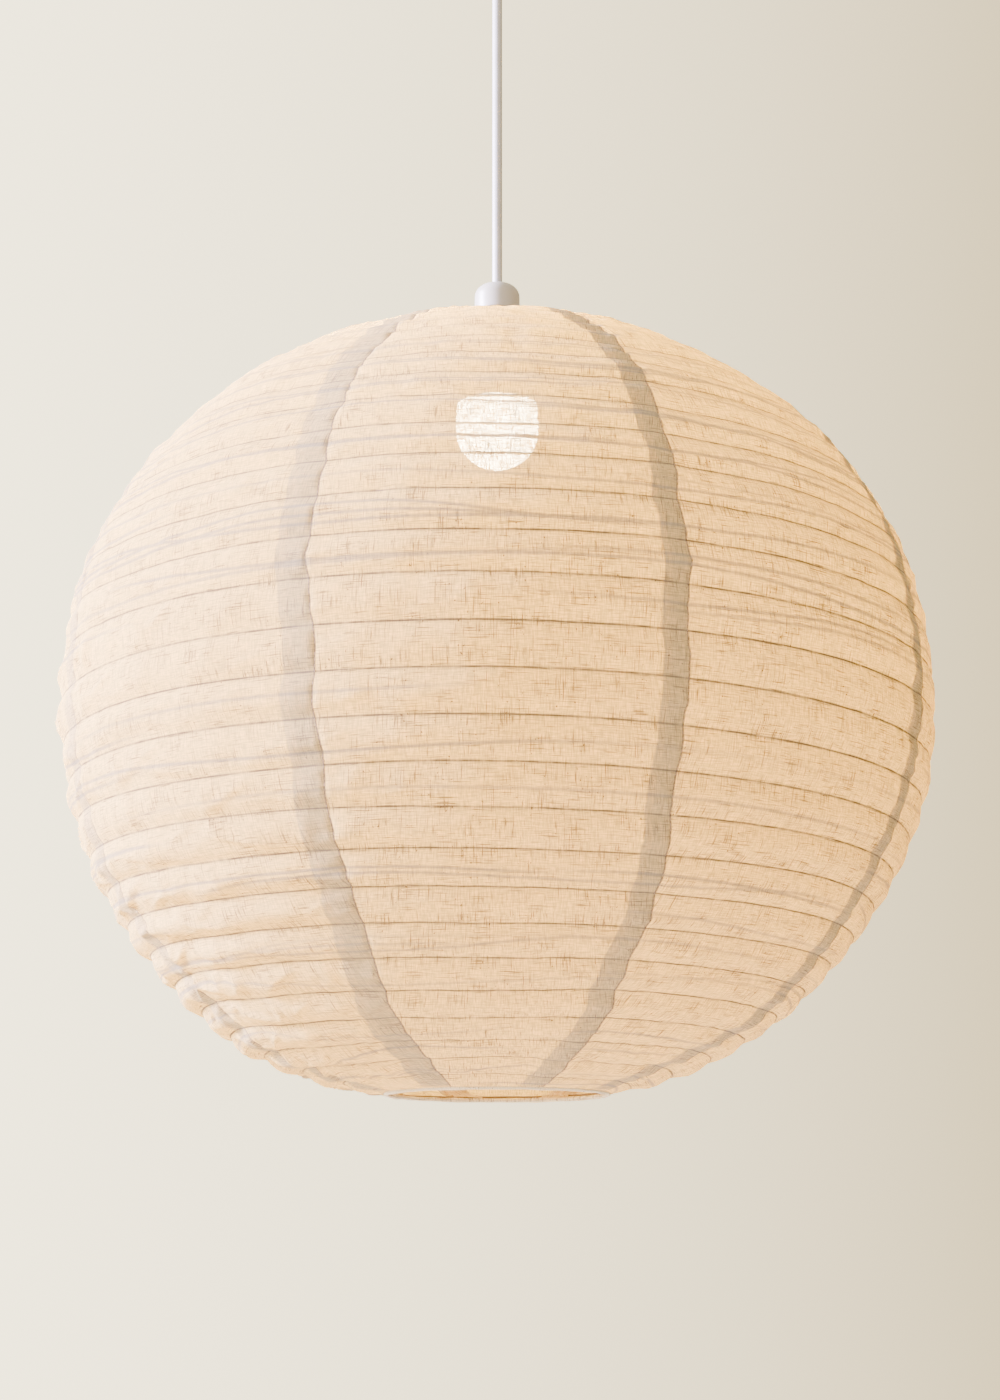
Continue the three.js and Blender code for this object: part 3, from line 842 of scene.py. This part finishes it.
def make_rose(plastic, steel):
    low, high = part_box("rose_cover")
    radius, foot = high.x / FACET, low.z
    edge = 5 * MM
    outer = [(radius, high.z), (radius, foot + 2 * edge)]
    outer += [
        (radius - 2 * edge + 2 * edge * math.cos(a), foot + 2 * edge - 2 * edge * math.sin(a))
        for a in np.linspace(0.15, math.pi / 2, 10)
    ]
    inner = [(5.6 * MM, foot), (5.6 * MM, foot + 2 * MM), (radius - 10 * MM, foot + 2 * MM)]
    inner += [(radius - 2 * MM, foot + 11 * MM), (radius - 2 * MM, high.z)]
    cover = place(lathe("rose_cup", outer + inner, plastic), "root", "white_plastic", "rose_cover")
    low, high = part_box("cord_grip")
    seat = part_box("rose_cover")[0].z
    wide, mouth = high.x / FACET, 6.4 * MM
    grip = [(4.2 * MM, high.z), (5.3 * MM, high.z)]
    for i in range(7):
        z = high.z - 1.2 * MM * (i + 0.5)
        grip += [(5.3 * MM, z), (4.9 * MM, z - 0.5 * MM), (5.3 * MM, z - 1.0 * MM)]
    grip += [(5.3 * MM, seat - 0.2 * MM), (wide, seat - 0.2 * MM), (wide, seat - 5.5 * MM)]
    grip += [(wide - (wide - mouth) * t**1.6, seat - 5.5 * MM + (low.z + 0.6 * MM - seat + 5.5 * MM) * t)
             for t in np.linspace(0.1, 1, 9)]
    grip += [(mouth - 0.3 * MM, low.z), (5.7 * MM, low.z), (4.2 * MM, low.z + 5.5 * MM)]
    gland = place(lathe("cord_gland", grip, plastic, 64), "root", "white_plastic", "cord_grip")
    screws = [make_screw(name, side, steel) for name, side in (("right", 1), ("left", -1))]
    return [cover, gland, *screws]


def make_screw(name, side, steel):
    """A pan-head side screw of the rose."""
    node = f"cover_screw_{name}"
    low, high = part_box(node)
    z, tip, face = (low.z + high.z) / 2, low.x if side > 0 else high.x, high.x if side > 0 else low.x
    head = 2.1 * MM
    profile = [(0, 0), (1.0 * MM, 0), (1.3 * MM, 1.6 * MM), (1.3 * MM, abs(face - tip) - head)]
    profile += [(3.0 * MM, abs(face - tip) - head), (3.0 * MM, abs(face - tip) - 0.9 * MM)]
    profile += [(3.0 * MM * math.cos(a), abs(face - tip) - 0.9 * MM + 0.9 * MM * math.sin(a))
                for a in np.linspace(0.2, 1.35, 6)]
    profile += [(0, abs(face - tip))]
    made = lathe(f"rose_screw_{name}", profile, steel, 32)
    for vertex in made.data.vertices:
        x, y, h = vertex.co
        vertex.co = (tip + side * h, y * side, z + x)
    made.data.update()
    return place(made, "root", "zinc_plate", node)


# ---------------------------------------------------------------- lampholder and bulb
THREAD_PITCH = 3.63  # in millimetres, as raised() takes them
GLOBE_CENTRE = -62.0


def raised(points):
    """Millimetres from the axis and above the top ring's plane, to metres in the frame."""
    return [(r * MM, TOP_Z + h * MM) for r, h in points]


def dome(radius, round_radius, top, steps=12):
    return [
        (radius - round_radius + round_radius * math.cos(a), top - round_radius + round_radius * math.sin(a))
        for a in np.linspace(0, math.pi / 2, steps)
    ]


def make_holder(plastic, steel):
    top = (CAP_TOP - TOP_Z) / MM
    cap = [(16.0, 27.5), (16.25, 27.8)] + dome(16.25, 9.2, top)
    cap += [(5.2, top), (4.8, top - 0.4), (4.8, top - 1.8)]
    cap += dome(14.4, 7.4, top - 1.8)[::-1] + [(14.4, 27.5)]
    place(lathe("holder_dome", raised(cap), plastic), "holder", "white_plastic", "holder_cap")
    body = [(16.0, 27.0), (16.2, 26.7), (16.2, 24.8), (17.4, 23.6), (19.2, 21.6), (19.5, 20.8)]
    body += [(19.5, 6.0), (19.9, 5.2), (24.6, 5.0), (25.0, 4.6), (25.0, 2.0), (24.6, 1.6), (19.6, 1.6)]
    for i in range(6):
        z = 0.6 - 2.4 * i
        body += [(19.5, z), (19.0, z - 0.7), (19.0, z - 1.4), (19.5, z - 2.0)]
    body += [(19.3, -13.8), (19.0, -14.0), (16.7, -14.0), (16.5, -13.6)]
    body += [(16.5, 20.8), (13.6, 24.0), (13.6, 27.0)]
    place(lathe("holder_shell", raised(body), plastic), "holder", "white_plastic", "holder_body")
    ring = make_collar(plastic)
    place(ring, "collar", "white_plastic", "shade_collar")
    sleeve = [(13.42, -6.0)]
    for i in range(6):
        z = -5.4 + THREAD_PITCH * i
        sleeve += [(13.42, z), (13.75, z + 0.9), (13.75, z + 1.8), (13.42, z + 2.7)]
    sleeve += [(13.42, 19.0), (14.1, 19.0), (14.1, -6.0)]
    place(lathe("socket_sleeve", raised(sleeve), steel, 64), "holder", "brass", "screw_shell")


def make_collar(plastic):
    """The ring nut that holds the shade: a flange with grip ribs round its rim."""
    ribs, segments = 36, 288
    profile = [(19.95, -6.8), (19.95, -2.0), (20.3, -1.8), (26.9, -1.8)]
    profile += [(27.4, -2.3), (27.4, -6.5), (26.9, -7.0), (20.3, -7.0)]
    made = lathe("shade_ring_nut", raised(profile), plastic, segments)
    for vertex in made.data.vertices:
        radius = math.hypot(vertex.co.x, vertex.co.y)
        if radius > 27.2 * MM:
            angle = math.atan2(vertex.co.x, -vertex.co.y)
            scale = 1 - 0.022 * (0.5 + 0.5 * math.cos(angle * ribs)) ** 2
            vertex.co.x *= scale
            vertex.co.y *= scale
    made.data.update()
    return made


def bowl(wide, deep, steps):
    """The globe's lower half, from the axis out."""
    angles = np.linspace(0, math.pi / 2, steps)
    return [(wide * math.sin(a), GLOBE_CENTRE - deep * math.cos(a)) for a in angles]


def make_bulb(plastic, steel, glow):
    cap = [(0, -7.0), (13.0, -7.0), (13.0, -5.4)]
    for i in range(4):
        z = -4.8 + THREAD_PITCH * i
        cap += [(12.5, z), (13.05, z + 0.9), (13.05, z + 1.8), (12.5, z + 2.8)]
    cap += [(12.3, 10.6), (11.2, 11.8), (7.2, 15.4), (6.8, 15.8), (0, 15.8)]
    place(lathe("bulb_screw_cap", raised(cap), steel, 64), "bulb_base", "spring_steel", "bulb_cap")
    housing = [(0, -7.3), (13.2, -7.3), (13.6, -7.8), (14.0, -17.0)]
    housing += [(14.2 + 14.3 * t**1.15, -18.0 - 24.7 * t) for t in np.linspace(0, 1, 12)]
    housing += [(28.2, -43.0), (0, -43.0)]
    place(lathe("bulb_heat_housing", raised(housing), plastic), "bulb", "white_plastic", "bulb_housing")
    outside = bowl(29.4, 28.0, 26) + [(29.4, -57.0), (29.2, -50.0), (28.8, -43.3)]
    inside = bowl(28.0, 26.6, 14) + [(28.0, -57.0), (27.8, -50.0), (27.4, -43.3)]
    globe = lathe("bulb_globe", raised(outside + inside[::-1]), glow)
    place(globe, "bulb", "lit_diffuser", "bulb_diffuser")


# ---------------------------------------------------------------- rings and expander
def hoop(name, radius, z, wire, material):
    points = [(radius * math.sin(a), -radius * math.cos(a), z) for a in np.arange(180) * TURN / 180]
    return tube(name, points, wire, material, 14, True)


def joined(name, *parts):
    """Joins meshes into the first one, under a new name."""
    work = bmesh.new()
    for part in parts:
        work.from_mesh(part.data)
    mesh = parts[0].data
    work.to_mesh(mesh)
    work.free()
    for part in parts[1:]:
        bpy.data.objects.remove(part)
    parts[0].name = name
    mesh.name = name
    return parts[0]


def make_wires(steel):
    for name, z, body in (("top", TOP_Z, "shade"), ("bottom", BOTTOM_Z, "bottom")):
        ring = hoop(f"{name}_steel_ring", RING_RADIUS, z, RING_STEEL, steel)
        place(ring, body, "spring_steel", f"{name}_ring")
    hub = 22.3 * MM
    leg_x = 66 * MM
    pin_z = TOP_Z - 2.4 * MM
    under_ring = TOP_Z - 3.9 * MM
    parts = [hoop("hub", hub, TOP_Z, SPRING_WIRE, steel)]
    for side in (1, -1):
        arm = [(side * hub, 0, TOP_Z), (side * 54 * MM, 0, TOP_Z), (side * leg_x, 0, pin_z)]
        arm.append((side * (RING_RADIUS - 0.5 * MM), 0, under_ring))
        parts.append(tube("arm", rounded_path(arm, 5 * MM), SPRING_WIRE, steel, 14))
        pin = [(side * leg_x, y * MM, pin_z) for y in (-1, 2, 5, 5.4)]
        parts.append(tube("pin", pin, SPRING_WIRE, steel, 14))
    place(joined("expander_top_wire", *parts), "shade", "spring_steel", "expander_bridge")
    for name, side in (("right", 1), ("left", -1)):
        eye = 2.6 * MM
        loop = [
            (side * leg_x + side * eye * math.sin(a), 3 * MM, pin_z - eye * math.cos(a))
            for a in np.linspace(0.0, 1.78 * math.pi, 28)
        ]
        foot_z = BOTTOM_Z + 3.8 * MM
        stem = [
            (side * (RING_RADIUS + 0.5 * MM), 3 * MM, foot_z),
            (side * (leg_x + 2 * MM), 3 * MM, foot_z + 3 * MM),
            (side * leg_x, 3 * MM, foot_z + 12 * MM),
            loop[0],
        ]
        path = rounded_path(stem, 4 * MM)[:-1] + [np.array(p) for p in loop]
        leg = tube(f"expander_leg_{name}", path, LEG_WIRE, steel, 12)
        place(leg, f"leg_{name}", "spring_steel", f"leg_{name}")


# ---------------------------------------------------------------- studio
GRADIENT = 0.22  # the sideways direction where the world reaches its left or right colour
LEFT_WALL = (4.4, 3.85, 2.6, 1)
RIGHT_WALL = (1.5, 1.20, 0.66, 1)
FLOOR_RADIUS = 1.1
FLOOR_DROP = 1.0


def make_light(name, location, energy, color, size):
    """A round soft light that looks at the shade's centre."""
    data = bpy.data.lights.new(name, "AREA")
    data.energy = energy
    data.color = color
    data.shape = "DISK"
    data.size = size
    lamp = bpy.data.objects.new(name, data)
    lamp.location = location
    lamp.rotation_mode = "QUATERNION"
    to_centre = Vector((0, 0, EQUATOR_Z)) - Vector(location)
    lamp.rotation_quaternion = to_centre.to_track_quat("-Z", "Y")
    bpy.context.scene.collection.objects.link(lamp)


def make_studio():
    """A world that is brighter on the left, a window light, two weak fills and a round floor."""
    world = bpy.data.worlds.new("studio")
    world.use_nodes = True
    tree = world.node_tree
    sky = tree.nodes["Background"]
    place = tree.nodes.new("ShaderNodeTexCoord")
    split = tree.nodes.new("ShaderNodeSeparateXYZ")
    across = tree.nodes.new("ShaderNodeMapRange")
    across.inputs[1].default_value, across.inputs[2].default_value = -GRADIENT, GRADIENT
    ramp = tree.nodes.new("ShaderNodeMix")
    ramp.data_type = "RGBA"
    ramp.inputs[6].default_value = LEFT_WALL
    ramp.inputs[7].default_value = RIGHT_WALL
    tree.links.new(place.outputs["Generated"], split.inputs[0])
    tree.links.new(split.outputs[0], across.inputs[0])
    tree.links.new(across.outputs[0], ramp.inputs[0])
    tree.links.new(ramp.outputs[2], sky.inputs["Color"])
    bpy.context.scene.world = world
    make_light("window", (-2.6, -0.2, EQUATOR_Z + 0.9), 2100, (0.79, 0.73, 1.0), 0.9)
    make_light("room", (-1.5, -2.4, EQUATOR_Z + 0.4), 75, (0.84, 0.76, 1.0), 1.8)
    make_light("fill", (1.6, -2.2, EQUATOR_Z + 0.5), 20, (1.0, 0.92, 0.80), 1.6)
    slab = [(0, 0), (FLOOR_RADIUS, 0), (FLOOR_RADIUS, -0.02), (0, -0.02)]
    floor = lathe("studio_floor", slab, plain("floor_paint", (0.64, 0.61, 0.55), 0.7))
    floor.location.z = BOTTOM_Z - FLOOR_DROP


# ---------------------------------------------------------------- build
make_camera()
# White plastic painted a dark grey: painted shade of the backlit holder, collar, rose and bulb housing.
SHADED_WHITE_PLASTIC = plain("white_plastic", (0.24, 0.23, 0.222), 0.38)
# The white cord painted grey: painted shade of the backlit cord.
SHADED_CORD_SHEATH = plain("cord_sheath", (0.28, 0.275, 0.30), 0.42, grain=1400.0)
ZINC = brushed("zinc_plate", (0.70, 0.71, 0.72), 0.35)
STEEL = brushed("spring_steel", (0.40, 0.40, 0.40), 0.55)
BRASS = brushed("brass", (0.78, 0.58, 0.28), 0.25)
CERAMIC = plain("ceramic", (0.85, 0.83, 0.78), 0.25)
cord, cord_length = make_cord(SHADED_CORD_SHEATH)
rose = make_rose(SHADED_WHITE_PLASTIC, ZINC)
for node, material in (
    ("rose_base", ZINC),
    ("grip_nut", SHADED_WHITE_PLASTIC),
    ("terminal_block", SHADED_WHITE_PLASTIC),
    ("socket_core", CERAMIC),
    ("centre_contact", BRASS),
    ("bulb_contact", BRASS),
):
    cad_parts[node].material_slots[0].material = material

CLOTH = linen("linen", (1.0, 0.62, 0.08), (0.88, 0.65, 0.27), 0.50, 0.06, True)
# The seam allowances' linen is a darker copy of the cloth: painted shade that deepens the show-through of the
# doubled layers behind it.
SHADED_TAPE = linen("linen_tape_shaded", (0.66, 0.43, 0.12), (0.70, 0.53, 0.27), 0.40, 0.0, False)
# The rolled hems' linen is a paler, brighter copy of the cloth: painted light on the rims, which the bulb
# lights from inside.
LIT_HEM = linen("linen_hem_lit", (1.0, 0.74, 0.36), (0.98, 0.84, 0.58), 0.4, 0.0, False)
THREAD = plain("thread", (0.34, 0.22, 0.12), 0.8)
LACQUER = plain("rib_lacquer", (0.16, 0.10, 0.06), 0.5)
GLOW = glowing("lit_diffuser", (1.0, 0.80, 0.50), 500.0)
make_holder(SHADED_WHITE_PLASTIC, BRASS)
make_bulb(SHADED_WHITE_PLASTIC, STEEL, GLOW)
make_wires(STEEL)
make_shade(CLOTH, SHADED_TAPE, LIT_HEM, THREAD, LACQUER)
make_studio()
